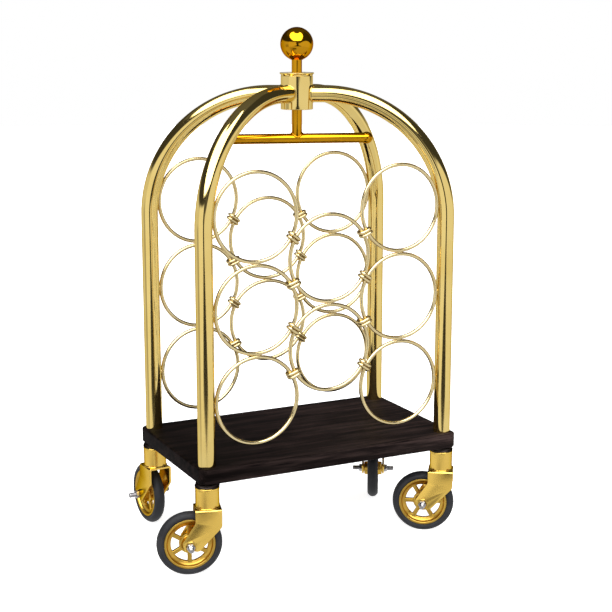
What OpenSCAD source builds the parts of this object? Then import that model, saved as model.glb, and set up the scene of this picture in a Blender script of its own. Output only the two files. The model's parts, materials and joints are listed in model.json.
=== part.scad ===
// Birdcage luggage cart bottle rack: a wooden deck on four swivel casters, four
// tube legs that bend in to a central hub, a hanging T-bar with a ball finial,
// and two panels of wire rings that hold the bottles.
// Frame: X is the deck's length, Y its depth (front is -Y), +Z up.
// The origin is the centre of the deck's top face.

/* [Deck] */
// Length of the deck board
deck_l = 334; // [334:1:360]
// Depth of the deck board
deck_w = 200; // [194:1:230]
// Thickness of the deck board
deck_t = 18; // [15:1:22]
// Radius of the deck's corners in plan
deck_corner = 10; // [6:1:16]
// Chamfer that eases the deck's edges
deck_ease = 2; // [1:0.5:3]

/* [Legs] */
// Distance between leg axes along the deck's length
post_dx = 308; // [307:0.2:310]
// Distance between leg axes across the deck
post_dy = 169; // [160:1:172]
// Outside diameter of the leg tube
tube_d = 20; // [16:0.5:20]
// Depth that the legs' feet are let into the deck
leg_sink = 3; // [2:0.5:5]
// Wall of the leg tube
tube_wall = 1.2; // [0.8:0.1:2]
// Height of the legs' horizontal ends, where they meet the hub
arch_z = 406; // [395:1:430]
// Centre-line radius of the leg bends
bend_r = 144; // [110:1:152]

/* [Hub and hanger] */
// Diameter of the hub
hub_d = 37.5; // [34:0.5:38.5]
// Height of the hub below its cap
hub_h = 38.5; // [34:0.5:44]
// Diameter of the hub's cap
cap_d = 40; // [39:0.2:44]
// Thickness of the hub's cap
cap_t = 4; // [3:0.5:6]
// Diameter of the hanger's rod and bar
rod_d = 12; // [10:0.5:13]
// Height of the hanger bar's axis
bar_z = 354; // [345:1:365]
// Length of the hanger bar over the balls on its ends
bar_l = 181; // [160:1:200]
// Turn of the T-bar about the rod, from the deck's length
bar_turn = -17; // [-45:1:45]
// Diameter of the balls on the T-bar's ends
bar_end_d = 14; // [13:0.5:16]
// Diameter of the finial ball
ball_d = 38.4; // [30:0.2:44]
// Height of the finial ball's centre
ball_z = 463; // [455:1:480]

/* [Rings] */
// Centre-line radius of a bottle ring
ring_r = 50; // [50:0.1:50.1]
// Diameter of the ring wire
wire_d = 4.6; // [4:0.1:4.6]
// Height of the lowest ring's centre
ring_z = 68.5; // [62:0.5:75]
// Rings in each outer column
outer_rings = 3; // [2:1:3]
// Diameter of the binding wire that ties the columns together
tie_d = 3.2; // [2:0.1:3.4]

/* [Casters] */
// Diameter of the wheel over its tyre
wheel_d = 75; // [70:1:75]
// Width of the tyre
tyre_w = 13.6; // [12:0.2:16]
// Radius of the rim under the tyre
rim_r = 29.3; // [28:0.1:30]
// Distance from the swivel axis back to the axle
trail = 21; // [16:1:24]
// Height of the axle's axis
axle_z = -89.5; // [-92:0.5:-89.5]
// Directions in which the four casters trail: front left, front right, back left, back right
caster_yaws = [164, 146, 94, 240];
// How far each wheel has rolled from spokes level with the axle
wheel_turns = [30, 0, 10, 20];

/* [Hidden] */
$fn = 96;
CORNERS = ["front_left", "front_right", "back_left", "back_right"];
PANELS = ["front", "back"];
COLUMNS = ["left", "middle", "right"];
CASTER_PIECES = ["stem", "race_ring", "barrel", "fork", "axle_sleeve", "axle_stud",
                 "axle_nuts", "wheel_rim", "tyre"];

BRASS = [0.84, 0.70, 0.36];
AMBER = [0.72, 0.50, 0.10];
CASTER_GOLD = [0.80, 0.66, 0.28];
STEEL = [0.75, 0.76, 0.78];
DARK_STEEL = [0.16, 0.14, 0.13];

eps = 0.01;
slip = 0.05;        // radial clearance of a shaft in its bore
gap = 0.4;          // axial clearance between parts that turn on each other
tube_r = tube_d / 2;
bore_r = tube_r - tube_wall;
hub_r = hub_d / 2;
rod_r = rod_d / 2;
wire_r = wire_d / 2;
hub_top = arch_z + 20.5;
post_reach = norm([post_dx, post_dy]) / 2;       // leg axis to the hub's axis, in plan
straight_h = arch_z - bend_r;                    // top of a leg's vertical run
rod_top = ball_z - 11;                           // the rod's end inside the ball

ring_overlap = 0.3;                              // wires sink together where they are brazed
ring_pitch = 2 * ring_r + wire_d - ring_overlap;
column_x = post_dx / 2 - tube_r - 0.2 - ring_r - wire_r;
tie_r = tie_d / 2;
tie_pitch = tie_d - 0.1;                         // the two wraps of a tie touch
tie_slip = 0.1;                                  // room between a tie and the wires in it
braze_r = 2.1;                                   // bead between a ring and its leg
insert_h = 30;
stem_r = 5;

collar_h = 3;
race_r = 14.2;
race_h = 2.2;
barrel_r = 14;
barrel_h = 23.8;
rivet_r = 8;
rivet_h = 2.8;
plate_t = 2.5;                                   // sheet of the fork
fork_half_l = 15;                                // half of the crown, along the trail
fork_half_w = 14.5;                              // half of the fork over its cheeks
bend_out = 2.5;                                  // outside radius of the fork's bends
race_z = -deck_t - collar_h;                     // top of the race ring
barrel_z = race_z - race_h - gap;                // top of the barrel
crown_z = barrel_z - barrel_h;                   // top of the fork's crown
sleeve_r = 5.2;
bolt_r = 3;
sleeve_half = fork_half_w - 1.5;                 // its ends stop inside the cheeks' slots
hex_r = 4.9;
hex_h = 5.5;
stud_end = sleeve_half + hex_h + 8.5;            // half of the axle stud

rim_w = 12.4;
rim_band = 3.2;
web_t = 4;
spokes = 6;
spoke_w = 5;
window_in = 12;
wheel_hub_r = 8.6;
wheel_hub_w = 23;

function post_xy(i) = [(i % 2 == 0 ? -1 : 1) * post_dx / 2, (i < 2 ? -1 : 1) * post_dy / 2];
function panel_y(p) = (p == 0 ? -1 : 1) * post_dy / 2;
function column_at(k) = (k - 1) * column_x;
function rings_in(k) = k == 1 ? outer_rings - 1 : outer_rings;
function lowest_z(k) = k == 1 ? ring_z + ring_pitch / 2 : ring_z;

// Corner c between points a and b, rounded to radius r with n chords.
function rounded(a, c, b, r, n = 8) =
    let (u = (a - c) / norm(a - c), v = (b - c) / norm(b - c),
         half = acos(u * v) / 2,
         centre = c + (u + v) / norm(u + v) * r / sin(half),
         from = c + u * r / tan(half) - centre,
         turn = (180 - 2 * half) * sign(cross(u, v)) * -1)
    [for (i = [0:n]) centre + [from[0] * cos(turn * i / n) - from[1] * sin(turn * i / n),
                               from[0] * sin(turn * i / n) + from[1] * cos(turn * i / n)]];

module at_post(i) {
    translate(post_xy(i)) children();
}

// ---- Deck ----

module deck() {
    color([0.16, 0.12, 0.11]) difference() {
        hull()
            for (x = [-1, 1], y = [-1, 1])
                translate([x * (deck_l / 2 - deck_corner), y * (deck_w / 2 - deck_corner), -deck_t]) {
                    translate([0, 0, deck_ease])
                        cylinder(h = deck_t - 2 * deck_ease, r = deck_corner, $fn = 48);
                    cylinder(h = deck_t, r = deck_corner - deck_ease, $fn = 48);
                }
        for (i = [0:3]) at_post(i) {
            translate([0, 0, -deck_t - 1]) cylinder(h = deck_t + 2, r = stem_r + 0.2);
            translate([0, 0, -leg_sink]) cylinder(h = leg_sink + 1, r = tube_r + slip);
        }
    }
}

// ---- Legs ----

// Leg i's own frame: it stands at the origin and bends towards +X.
module at_leg(i) {
    inward = -post_xy(i);
    at_post(i) rotate([0, 0, atan2(inward[1], inward[0])]) children();
}

// A rod of radius r along the centre line of a leg, from foot below the deck's top.
module leg_path(r, foot) {
    translate([0, 0, -foot]) cylinder(h = straight_h + foot, r = r);
    translate([bend_r, 0, straight_h]) rotate([90, 0, 0])
        rotate([0, 0, 90]) rotate_extrude(angle = 90) translate([bend_r, 0]) circle(r);
    translate([bend_r, 0, arch_z]) rotate([0, 90, 0]) cylinder(h = post_reach - bend_r, r = r);
}

module leg(i) {
    side = [sign(post_xy(i)[0]), sign(post_xy(i)[1])];
    mitre = 0.15;   // half of the gap between neighbouring legs at the hub
    color(BRASS) difference() {
        at_leg(i) difference() {
            leg_path(tube_r, leg_sink);
            leg_path(bore_r, leg_sink + 1);
        }
        translate([0, 0, arch_z - tube_d]) cylinder(h = 2 * tube_d, r = hub_r + slip);
        for (s = [[0, 0], [1, 0]])
            translate([s[0] == 0 ? (side[0] > 0 ? -40 + mitre : -mitre) : -40,
                       s[0] == 1 ? (side[1] > 0 ? -40 + mitre : -mitre) : -40,
                       arch_z - tube_d])
                cube([s[0] == 0 ? 40 : 80, s[0] == 1 ? 40 : 80, 2 * tube_d]);
    }
}

module leg_inserts() {
    color(STEEL) for (i = [0:3])
        at_post(i) translate([0, 0, -leg_sink]) difference() {
            cylinder(h = insert_h, r = bore_r - slip);
            translate([0, 0, -1]) cylinder(h = insert_h + 2, r = stem_r + slip);
        }
}

// ---- Hub and hanger ----

module hub() {
    chamfer = 1;
    color(BRASS) difference() {
        translate([0, 0, hub_top - hub_h]) {
            cylinder(h = chamfer, r1 = hub_r - chamfer, r2 = hub_r);
            translate([0, 0, chamfer]) cylinder(h = hub_h - chamfer, r = hub_r);
        }
        translate([0, 0, hub_top - hub_h - 1]) cylinder(h = hub_h + 2, r = rod_r + slip);
    }
}

module hub_cap() {
    chamfer = 0.8;
    color(BRASS) translate([0, 0, hub_top]) difference() {
        union() {
            cylinder(h = cap_t - chamfer, r = cap_d / 2);
            translate([0, 0, cap_t - chamfer])
                cylinder(h = chamfer, r1 = cap_d / 2, r2 = cap_d / 2 - chamfer);
        }
        translate([0, 0, -1]) cylinder(h = cap_t + 2, r = rod_r + slip);
    }
}

module finial_ball() {
    color(AMBER) difference() {
        translate([0, 0, ball_z]) sphere(d = ball_d);
        translate([0, 0, ball_z - ball_d]) cylinder(h = rod_top + 0.2 - ball_z + ball_d, r = rod_r + slip);
    }
}

module hanger_rod() {
    color(AMBER) difference() {
        translate([0, 0, bar_z]) cylinder(h = rod_top - bar_z, r = rod_r);
        translate([0, 0, bar_z]) rotate([0, 90, bar_turn])
            cylinder(h = 2 * rod_d, r = rod_r + slip, center = true);
    }
}

module hanger_bar() {
    straight = bar_l - bar_end_d;
    color(AMBER) translate([0, 0, bar_z]) rotate([0, 0, bar_turn]) {
        rotate([0, 90, 0]) cylinder(h = straight, r = rod_r, center = true);
        for (s = [-1, 1]) translate([s * straight / 2, 0, 0]) sphere(d = bar_end_d);
    }
}

// ---- Bottle rings ----

module ring() {
    rotate([90, 0, 0]) rotate_extrude() translate([ring_r, 0]) circle(wire_r);
}

module ring_column(p, k) {
    outward = k - 1;
    bead_x = outward * (ring_r + wire_r);
    color([0.80, 0.70, 0.46]) difference() {
        for (n = [0:rings_in(k) - 1])
            translate([column_at(k), panel_y(p), lowest_z(k) + n * ring_pitch]) {
                ring();
                if (outward != 0)
                    translate([bead_x, 0, -braze_r]) cylinder(h = 2 * braze_r, r = braze_r);
            }
        if (outward != 0) at_leg(2 * p + (k == 2 ? 1 : 0)) leg_path(tube_r + eps, 0);
    }
}

// Cross-section of a tie: its wire's two wraps, side by side.
module tie_wraps() {
    for (s = [-1, 1]) translate([0, s * tie_pitch / 2]) circle(tie_r);
}

// A tie round two wires that run along Z, with their centres span apart.
module wire_tie(span) {
    reach = wire_r + tie_slip + tie_r;
    for (s = [-1, 1]) {
        translate([s * span / 2, 0, 0]) rotate([0, 0, -90 * s])
            rotate_extrude(angle = 180) translate([reach, 0]) tie_wraps();
        translate([-span / 2, s * reach, 0]) rotate([90, 0, 90]) linear_extrude(span) tie_wraps();
    }
}

module wire_ties(p) {
    rise = ring_pitch / 2;
    reach = norm([column_x, rise]);
    span = reach - 2 * ring_r;
    tilt = atan2(rise, column_x);
    color([0.80, 0.70, 0.46]) translate([0, panel_y(p), 0])
        for (n = [0:rings_in(1) - 1], s = [-1, 1], up = [-1, 1])
            translate([s * column_x / 2, 0, lowest_z(1) + n * ring_pitch + up * rise / 2])
                rotate([0, -s * up * tilt, 0]) wire_tie(span);
}

// ---- Casters ----

// Caster i's own frame: X points the way it trails, Z stays at deck height.
module at_caster(i) {
    at_post(i) rotate([0, 0, caster_yaws[i]]) children();
}

module at_axle(i) {
    at_caster(i) translate([trail, 0, axle_z]) rotate([90, 0, 0]) children();
}

module stem(i) {
    rivet_z = crown_z + 0.8;
    color(DARK_STEEL) at_caster(i) {
        translate([0, 0, rivet_z]) cylinder(h = rivet_h, r = rivet_r);
        translate([0, 0, rivet_z]) cylinder(h = insert_h - leg_sink - 4 - rivet_z, r = stem_r);
        translate([0, 0, race_z]) cylinder(h = collar_h, r1 = 13.4, r2 = 12.4);
    }
}

module race_ring(i) {
    edge = 0.6;
    color(DARK_STEEL) at_caster(i) translate([0, 0, race_z - race_h]) difference() {
        union() {
            cylinder(h = edge, r1 = race_r - edge, r2 = race_r);
            translate([0, 0, edge]) cylinder(h = race_h - 2 * edge, r = race_r);
            translate([0, 0, race_h - edge]) cylinder(h = edge, r1 = race_r, r2 = race_r - edge);
        }
        translate([0, 0, -1]) cylinder(h = race_h + 2, r = stem_r + slip);
    }
}

module barrel(i) {
    seat = 0.8 + rivet_h + gap;
    color(CASTER_GOLD) at_caster(i) translate([0, 0, crown_z]) difference() {
        cylinder(h = barrel_h, r = barrel_r);
        translate([0, 0, -1]) cylinder(h = barrel_h + 2, r = stem_r + slip);
        translate([0, 0, -1]) cylinder(h = seat + 1, r = rivet_r + gap);
    }
}

// Side view of the fork: X is the way it trails, Y is height.
module fork_side() {
    toe = axle_z - 6;                     // lowest edge of the cheeks
    knee = crown_z - 15;                  // where the cheeks start to slant
    prong = 9;                            // from the axle out to a prong's side
    difference() {
        polygon(concat(
            [[-fork_half_l, crown_z], [fork_half_l, crown_z]],
            rounded([fork_half_l, crown_z], [fork_half_l, knee], [trail + prong, axle_z + 4.5], 5),
            rounded([fork_half_l, knee], [trail + prong, axle_z + 4.5], [trail + prong - 2, toe], 4),
            rounded([trail + prong, axle_z + 4.5], [trail + prong - 2.5, toe], [trail - prong, toe], 2),
            rounded([trail + prong, toe], [trail - prong - 1, toe], [-fork_half_l, knee - 6], 3),
            rounded([trail - prong - 1, toe], [-fork_half_l, knee - 6], [-fork_half_l, crown_z], 7)
        ));
        translate([trail, axle_z]) circle(sleeve_r + slip);
        translate([trail - sleeve_r - slip, toe - 1]) square([2 * (sleeve_r + slip), axle_z - toe + 1]);
    }
}

// End view of the fork: a channel, open below, with rounded bends at the crown.
module fork_end() {
    depth = crown_z - axle_z + 20;
    inner_r = bend_out - 1.5;
    difference() {
        translate([-fork_half_w, -depth]) union() {
            square([2 * fork_half_w, depth - bend_out]);
            translate([bend_out, 0]) square([2 * (fork_half_w - bend_out), depth]);
            for (x = [bend_out, 2 * fork_half_w - bend_out])
                translate([x, depth - bend_out]) circle(bend_out);
        }
        translate([-fork_half_w + plate_t, -depth - 1])
            square([2 * (fork_half_w - plate_t), depth + 1 - plate_t - inner_r]);
        translate([-fork_half_w + plate_t + inner_r, -plate_t - inner_r - eps])
            square([2 * (fork_half_w - plate_t - inner_r), inner_r + eps]);
        for (s = [-1, 1])
            translate([s * (fork_half_w - plate_t - inner_r), -plate_t - inner_r]) circle(inner_r);
    }
}

module fork(i) {
    color(CASTER_GOLD) at_caster(i) intersection() {
        rotate([90, 0, 0]) linear_extrude(60, center = true) fork_side();
        translate([8, 0, crown_z]) rotate([90, 0, 90]) linear_extrude(80, center = true) fork_end();
    }
}

module axle_sleeve(i) {
    color(CASTER_GOLD) at_axle(i) difference() {
        cylinder(h = 2 * sleeve_half, r = sleeve_r, center = true);
        cylinder(h = 2 * sleeve_half + 2, r = bolt_r + slip, center = true);
    }
}

module axle_stud(i) {
    tip = 1.5;
    color(STEEL) at_axle(i) {
        cylinder(h = 2 * (stud_end - tip), r = bolt_r, center = true);
        for (s = [0, 1]) mirror([0, 0, s])
            translate([0, 0, stud_end - tip]) cylinder(h = tip, r1 = bolt_r, r2 = bolt_r - 1);
    }
}

module axle_nuts(i) {
    color(STEEL) at_axle(i) for (s = [-1, 1])
        translate([0, 0, s * (sleeve_half + hex_h / 2)]) difference() {
            cylinder(h = hex_h, r = hex_r, center = true, $fn = 6);
            cylinder(h = hex_h + 2, r = bolt_r + slip, center = true);
        }
}

// One window of the wheel's web, between two spokes.
module web_window() {
    window_out = rim_r - rim_band - 2;
    half = 180 / spokes;
    difference() {
        intersection() {
            circle(window_out);
            polygon([[0, 0], [2 * window_out * cos(half), 2 * window_out * sin(half)],
                     [2 * window_out * cos(half), -2 * window_out * sin(half)]]);
        }
        circle(window_in);
        for (s = [-1, 1])
            rotate([0, 0, s * half]) translate([0, -spoke_w / 2]) square([window_out + 1, spoke_w]);
    }
}

module wheel_rim(i) {
    color([0.75, 0.55, 0.18]) at_axle(i) difference() {
        union() {
            difference() {
                cylinder(h = rim_w, r = rim_r - slip, center = true);
                cylinder(h = rim_w + 2, r = rim_r - rim_band, center = true);
            }
            cylinder(h = web_t, r = rim_r - rim_band + eps, center = true);
            cylinder(h = wheel_hub_w, r = wheel_hub_r, center = true);
        }
        cylinder(h = wheel_hub_w + 2, r = sleeve_r + slip, center = true);
        for (n = [0:spokes - 1]) rotate([0, 0, wheel_turns[i] + (n + 0.5) * 360 / spokes])
            translate([0, 0, -web_t]) linear_extrude(2 * web_t) web_window();
    }
}

module tyre(i) {
    section_r = tyre_w / 2;
    color([0.20, 0.20, 0.23]) at_axle(i) rotate_extrude() difference() {
        translate([wheel_d / 2 - section_r, 0]) circle(section_r);
        translate([0, -tyre_w]) square([rim_r, 2 * tyre_w]);
    }
}

// ---- Assembly ----

deck();
leg_inserts();
hub();
hub_cap();
finial_ball();
hanger_rod();
hanger_bar();
for (i = [0:3]) leg(i);
for (p = [0:1], k = [0:2])
    ring_column(p, k);
for (p = [0:1]) wire_ties(p);
for (i = [0:3]) {
    stem(i);
    race_ring(i);
    barrel(i);
    fork(i);
    axle_sleeve(i);
    axle_stud(i);
    axle_nuts(i);
    wheel_rim(i);
    tyre(i);
}
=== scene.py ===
import json
import math

import bmesh
import bpy
from mathutils import Matrix, Vector, noise


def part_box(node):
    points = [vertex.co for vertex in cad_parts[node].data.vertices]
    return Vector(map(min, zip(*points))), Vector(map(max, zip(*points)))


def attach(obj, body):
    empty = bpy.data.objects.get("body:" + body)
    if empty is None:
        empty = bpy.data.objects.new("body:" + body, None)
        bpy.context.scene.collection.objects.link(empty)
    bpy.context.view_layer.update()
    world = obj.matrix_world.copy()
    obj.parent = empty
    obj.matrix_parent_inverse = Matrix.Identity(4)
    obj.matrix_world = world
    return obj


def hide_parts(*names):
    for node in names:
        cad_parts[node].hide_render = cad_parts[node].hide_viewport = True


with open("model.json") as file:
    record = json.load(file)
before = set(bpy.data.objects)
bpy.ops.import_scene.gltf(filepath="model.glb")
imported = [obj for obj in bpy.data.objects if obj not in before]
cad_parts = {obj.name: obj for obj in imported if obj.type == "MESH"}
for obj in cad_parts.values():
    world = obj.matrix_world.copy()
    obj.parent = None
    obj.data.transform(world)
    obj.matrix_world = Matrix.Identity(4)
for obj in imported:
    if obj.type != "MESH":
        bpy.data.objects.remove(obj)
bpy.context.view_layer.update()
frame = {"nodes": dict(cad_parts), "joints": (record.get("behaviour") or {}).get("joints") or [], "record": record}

MM = 0.001

# ---- Sizes taken from the frame ----

CORNERS = ("front_left", "front_right", "back_left", "back_right")
PANELS = ("front", "back")
COLUMNS = ("left", "middle", "right")
joints = {joint["name"]: joint for joint in frame["joints"]}


def size(node):
    low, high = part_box(node)
    return high - low


def middle(node):
    low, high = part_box(node)
    return (low + high) / 2


def post(corner):
    """Where a leg's axis meets the deck."""
    place = Vector(joints["swivel_" + corner]["pos_m"])
    return Vector((place.x, place.y, 0))


def axle(corner):
    return Vector(joints["roll_" + corner]["pos_m"])


TUBE_R = post("front_left").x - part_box("leg_front_left")[0].x
LEG_SINK = -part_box("leg_front_left")[0].z
ARCH_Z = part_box("leg_front_left")[1].z - TUBE_R
BEND_R = 144 * MM
HUB_LOW, HUB_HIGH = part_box("hub")
HUB_R = size("hub").x / 2
CAP_LOW, CAP_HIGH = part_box("hub_cap")
CAP_R = size("hub_cap").x / 2
ROD_R = size("hanger_rod").x / 2
BAR_Z = middle("hanger_bar").z
BAR_END_R = size("hanger_bar").z / 2
BAR_REACH = (size("hanger_bar").x / 2 - BAR_END_R, size("hanger_bar").y / 2 - BAR_END_R)
BAR_TURN = -math.atan2(BAR_REACH[1], BAR_REACH[0])      # about the rod
WIRE_R = size("rings_front_middle").y / 2
RING_OUT = size("rings_front_middle").x / 2
RING_R = RING_OUT - WIRE_R
RING_PITCH = size("rings_front_middle").z - 2 * RING_OUT
DECK = size("deck")
BARREL_R = size("barrel_front_left").x / 2
WHEEL_R = size("tyre_front_left").z / 2
TRAIL = (axle("front_left") - post("front_left")).xy.length
AXLE_Z = axle("front_left").z
FORK_HALF_W = 14.5 * MM
SLEEVE_HALF = FORK_HALF_W - 1.5 * MM       # its ends stop inside the cheeks' slots
PLATE = 2.5 * MM
SLEEVE_R = size("axle_sleeve_front_left").z / 2
RIM_R = size("wheel_rim_front_left").z / 2
SLIP = 0.05 * MM


def trail_angle(corner):
    offset = axle(corner) - post(corner)
    return math.atan2(offset.y, offset.x)


def caster_frame(corner):
    """X points the way the caster trails, Z up, origin where the stem meets deck level."""
    return Matrix.Translation(post(corner)) @ Matrix.Rotation(trail_angle(corner), 4, "Z")


def axle_frame(corner, turn=0.0):
    """Origin at the axle's middle, Z along the axle, turned by the wheel's roll."""
    lying = Matrix.Rotation(math.radians(90), 4, "X")
    place = Matrix.Translation(axle(corner)) @ Matrix.Rotation(trail_angle(corner), 4, "Z")
    return place @ lying @ Matrix.Rotation(turn, 4, "Z")


# ---- Mesh helpers ----

def make_mesh(name, verts, faces, sharp=38):
    """A smooth-shaded mesh whose edges over sharp degrees stay crisp."""
    mesh = bpy.data.meshes.new(name)
    mesh.from_pydata([tuple(v) for v in verts], [], faces)
    bm = bmesh.new()
    bm.from_mesh(mesh)
    bmesh.ops.remove_doubles(bm, verts=bm.verts, dist=1e-7)
    bmesh.ops.recalc_face_normals(bm, faces=bm.faces)
    bm.to_mesh(mesh)
    bm.free()
    return shade(mesh, sharp)


def shade(mesh, sharp=38):
    mesh.polygons.foreach_set("use_smooth", [True] * len(mesh.polygons))
    mesh.set_sharp_from_angle(angle=math.radians(sharp))
    return mesh


def joined(name, meshes, sharp=38):
    """One mesh of several closed shells."""
    bm = bmesh.new()
    for mesh in meshes:
        bm.from_mesh(mesh)
    result = bpy.data.meshes.new(name)
    bm.to_mesh(result)
    bm.free()
    for mesh in meshes:
        bpy.data.meshes.remove(mesh)
    return shade(result, sharp)


def moved(mesh, matrix):
    mesh.transform(matrix)
    return mesh


def soften(points, radius, steps=4):
    """A closed outline with each corner rounded, by radius or a list of radii."""
    result = []
    for i, corner in enumerate(points):
        r = radius[i] if isinstance(radius, (list, tuple)) else radius
        here, before, after = (Vector(p) for p in (corner, points[i - 1], points[(i + 1) % len(points)]))
        to_before, to_after = before - here, after - here
        reach = min(to_before.length, to_after.length) * 0.49
        u, v = to_before.normalized(), to_after.normalized()
        half = math.acos(max(-1, min(1, u.dot(v)))) / 2
        if r <= 0 or half > math.radians(88):
            result.append(tuple(here))
            continue
        cut = min(r / math.tan(half), reach)
        start, end = here + u * cut, here + v * cut
        for k in range(steps + 1):
            t = k / steps
            result.append(tuple(start * (1 - t) ** 2 + here * 2 * t * (1 - t) + end * t ** 2))
    return result


def lathe(name, profile, steps=64, sharp=38):
    """Turns a closed outline of (radius, height) points about Z."""
    verts, faces, count = [], [], len(profile)
    for s in range(steps):
        a = 2 * math.pi * s / steps
        verts += [(r * math.cos(a), r * math.sin(a), z) for r, z in profile]
    for s in range(steps):
        a, b = s * count, (s + 1) % steps * count
        for i in range(count):
            j = (i + 1) % count
            if profile[i][0] < 1e-9 and profile[j][0] < 1e-9:
                continue
            faces.append((a + i, b + i, b + j, a + j))
    return make_mesh(name, verts, faces, sharp)


def tube(name, path, radius, sides=16, closed=False, sharp=38):
    """Sweeps a circle along a path. radius is a number or a function of the path's share."""
    points = [Vector(p) for p in path]
    count = len(points)
    size_at = radius if callable(radius) else lambda share: radius
    tangents = []
    for i in range(count):
        before = points[i - 1] if closed or i else points[0]
        after = points[(i + 1) % count] if closed or i < count - 1 else points[-1]
        tangents.append((after - before).normalized())
    normal = tangents[0].orthogonal().normalized()
    verts, faces = [], []
    for i in range(count):
        normal = (normal - tangents[i] * normal.dot(tangents[i])).normalized()
        side = tangents[i].cross(normal)
        r = size_at(i / count)
        for s in range(sides):
            a = 2 * math.pi * s / sides
            verts.append(points[i] + (normal * math.cos(a) + side * math.sin(a)) * r)
    rings = count if closed else count - 1
    twist = 0
    if closed:
        first = (verts[0] - points[0]).normalized()
        last = tangents[0].cross(normal)
        angle = math.atan2(first.dot(last), first.dot(normal))
        twist = round(angle / (2 * math.pi / sides))
    for i in range(rings):
        a, b = i * sides, (i + 1) % count * sides
        shift = -twist if closed and i == count - 1 else 0
        for s in range(sides):
            faces.append((a + s, a + (s + 1) % sides,
                          b + (s + 1 + shift) % sides, b + (s + shift) % sides))
    if not closed:
        faces.append(tuple(range(sides - 1, -1, -1)))
        faces.append(tuple(range((count - 1) * sides, count * sides)))
    return make_mesh(name, verts, faces, sharp)


def prism(name, outline, low, high):
    """Extrudes a closed (x, y) outline from z = low to z = high."""
    count = len(outline)
    verts = [(x, y, z) for z in (low, high) for x, y in outline]
    faces = [tuple(range(count)), tuple(range(2 * count - 1, count - 1, -1))]
    faces += [(i, (i + 1) % count, count + (i + 1) % count, count + i) for i in range(count)]
    return make_mesh(name, verts, faces)


def evaluated(obj):
    """The mesh of obj with its modifiers applied; obj and its own mesh are removed."""
    bpy.context.view_layer.update()
    graph = bpy.context.evaluated_depsgraph_get()
    mesh = bpy.data.meshes.new_from_object(obj.evaluated_get(graph))
    base = obj.data
    bpy.data.objects.remove(obj)
    bpy.data.meshes.remove(base)
    return mesh


def scratch(mesh):
    obj = bpy.data.objects.new(mesh.name + "_scratch", mesh)
    bpy.context.scene.collection.objects.link(obj)
    return obj


def combined(mesh, other, operation, sharp=38):
    """Boolean of two closed meshes."""
    obj, tool = scratch(mesh), scratch(other)
    modifier = obj.modifiers.new("cut", "BOOLEAN")
    modifier.object = tool
    modifier.operation = operation
    modifier.solver = "EXACT"
    result = evaluated(obj)
    bpy.data.objects.remove(tool)
    bpy.data.meshes.remove(other)
    return shade(result, sharp)


def bevelled(mesh, width, segments=2, angle=40):
    """Rounds every edge sharper than angle degrees."""
    obj = scratch(mesh)
    modifier = obj.modifiers.new("edge", "BEVEL")
    modifier.width = width
    modifier.segments = segments
    modifier.limit_method = "ANGLE"
    modifier.angle_limit = math.radians(angle)
    return shade(evaluated(obj), 50)


def bumpy(base, amount, frequency, seed):
    """A radius that wanders along a weld or braze bead."""
    return lambda share: base * (1 + amount * noise.noise(
        Vector((math.cos(share * math.tau) * frequency, math.sin(share * math.tau) * frequency, seed))))


def lump(name, centre, axes, seed, rough=0.12):
    """A small blob of braze, with half sizes along X, Y and Z."""
    bm = bmesh.new()
    bmesh.ops.create_icosphere(bm, subdivisions=3, radius=1)
    for v in bm.verts:
        swell = 1 + rough * noise.noise(v.co * 1.7 + Vector((seed, 0, 0)))
        v.co = Vector([c * a * swell for c, a in zip(v.co, axes)]) + centre
    mesh = bpy.data.meshes.new(name)
    bm.to_mesh(mesh)
    bm.free()
    return shade(mesh, 60)


# ---- Materials ----

def add(tree, kind, settings=None, **values):
    """A new node. values set sockets or, given a socket, link it."""
    made = tree.nodes.new("ShaderNode" + kind)
    for key, value in (settings or {}).items():
        setattr(made, key, value)
    for key, value in values.items():
        target = made.inputs[int(key[1:])] if key[0] == "i" and key[1:].isdigit() else \
            made.inputs[key.replace("_", " ")]
        if isinstance(value, bpy.types.NodeSocket):
            tree.links.new(value, target)
        else:
            target.default_value = value
    return made


def ramp(tree, factor, stops):
    """A colour ramp over (position, (r, g, b)) or (position, grey) stops."""
    made = tree.nodes.new("ShaderNodeValToRGB")
    tree.links.new(factor, made.inputs[0])
    elements = made.color_ramp.elements
    while len(elements) < len(stops):
        elements.new(0.5)
    for element, (position, colour) in zip(elements, stops):
        element.position = position
        grey = isinstance(colour, (int, float))
        element.color = (colour, colour, colour, 1) if grey else (*colour, 1)
    return made.outputs[0]


def field(tree, scale, detail=4.0, roughness=0.55, stretch=(1, 1, 1), distortion=0.0):
    """Noise in the object's own coordinates, optionally stretched."""
    where = add(tree, "TexCoord").outputs["Object"]
    shaped = add(tree, "Mapping", Vector=where, Scale=stretch).outputs[0]
    made = add(tree, "TexNoise", Vector=shaped, Scale=scale, Detail=detail,
               Roughness=roughness, Distortion=distortion)
    return made.outputs["Fac"]


def mixed(tree, factor, a, b, blend="MIX"):
    made = add(tree, "Mix", {"data_type": "RGBA", "blend_type": blend})
    for index, value in ((0, factor), (6, a), (7, b)):
        if isinstance(value, bpy.types.NodeSocket):
            tree.links.new(value, made.inputs[index])
        else:
            made.inputs[index].default_value = value if index == 0 else (*value, 1)
    return made.outputs[2]


def spread(tree, value, low, high, source=(0.0, 1.0)):
    """Maps a value from source to the range low to high."""
    made = add(tree, "MapRange", Value=value)
    for index, number in zip((1, 2, 3, 4), (*source, low, high)):
        made.inputs[index].default_value = number
    return made.outputs[0]


def bump(tree, height, strength, distance, normal=None):
    made = add(tree, "Bump", Height=height, Strength=strength, Distance=distance)
    if normal is not None:
        tree.links.new(normal, made.inputs["Normal"])
    return made.outputs[0]


def material(name, **constants):
    """A Principled material and its tree; constants set plain sockets."""
    made = bpy.data.materials.new(name)
    made.use_nodes = True
    shader = made.node_tree.nodes["Principled BSDF"]
    for key, value in constants.items():
        shader.inputs[key.replace("_", " ")].default_value = value
    return made, made.node_tree, shader


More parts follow.
